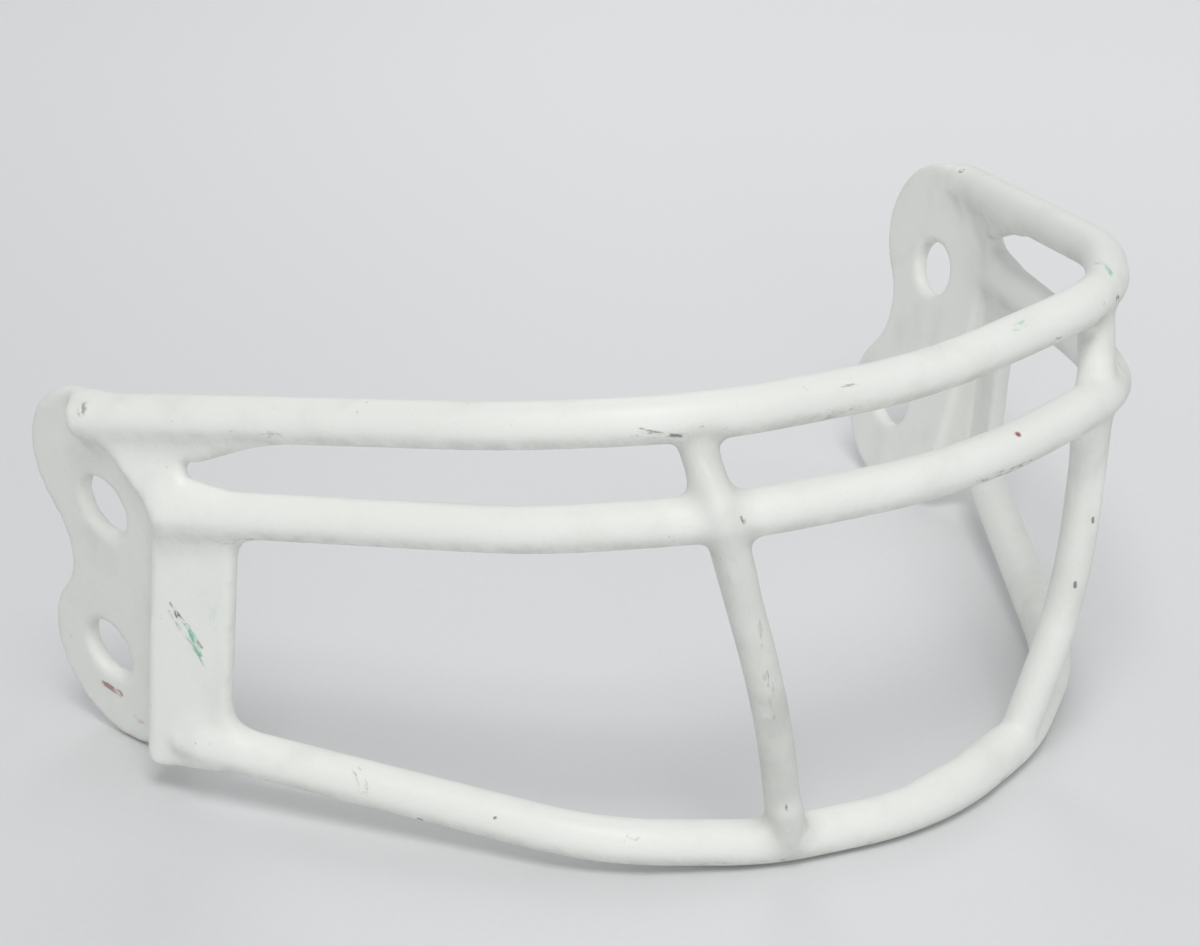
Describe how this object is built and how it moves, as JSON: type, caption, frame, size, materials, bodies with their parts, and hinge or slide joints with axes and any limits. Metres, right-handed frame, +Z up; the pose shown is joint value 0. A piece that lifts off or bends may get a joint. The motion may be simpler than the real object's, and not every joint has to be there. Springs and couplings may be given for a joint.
{
  "type": "helmet facemask",
  "caption": "Football helmet facemask: bent wire bars and uprights welded to side plates with fixing holes, under one smooth white coating.",
  "frame": {"origin": "on the ground under the middle of the mask's box", "axes": "+X across the mask to the wearer's left, -Y out of the mask's front, +Z up"},
  "size_m": [0.2406, 0.1446, 0.0978],
  "materials": {
    "white_coating": "satin, soft dipped coating",
    "wire_steel": "plain drawn wire, rusty where bare",
    "sheet_steel": "plain stamped sheet",
    "weld_steel": "rough weld"
  },
  "bodies": {
    "root": {"top_bar_wire": "wire_steel", "middle_bar_wire": "wire_steel", "bottom_bar_wire": "wire_steel", "left_upright_wire": "wire_steel", "right_upright_wire": "wire_steel", "left_side_plate": "sheet_steel", "right_side_plate": "sheet_steel", "left_top_plate_weld": "weld_steel", "right_top_plate_weld": "weld_steel", "left_middle_plate_weld": "weld_steel", "right_middle_plate_weld": "weld_steel", "left_bottom_plate_weld": "weld_steel", "right_bottom_plate_weld": "weld_steel", "left_top_upright_weld": "weld_steel", "right_top_upright_weld": "weld_steel", "left_middle_upright_weld": "weld_steel", "right_middle_upright_weld": "weld_steel", "left_bottom_upright_weld": "weld_steel", "right_bottom_upright_weld": "weld_steel", "top_bar_coat": "white_coating", "middle_bar_coat": "white_coating", "bottom_bar_coat": "white_coating", "left_upright_coat": "white_coating", "right_upright_coat": "white_coating", "left_plate_coat": "white_coating", "right_plate_coat": "white_coating"}
  },
  "joints": []
}
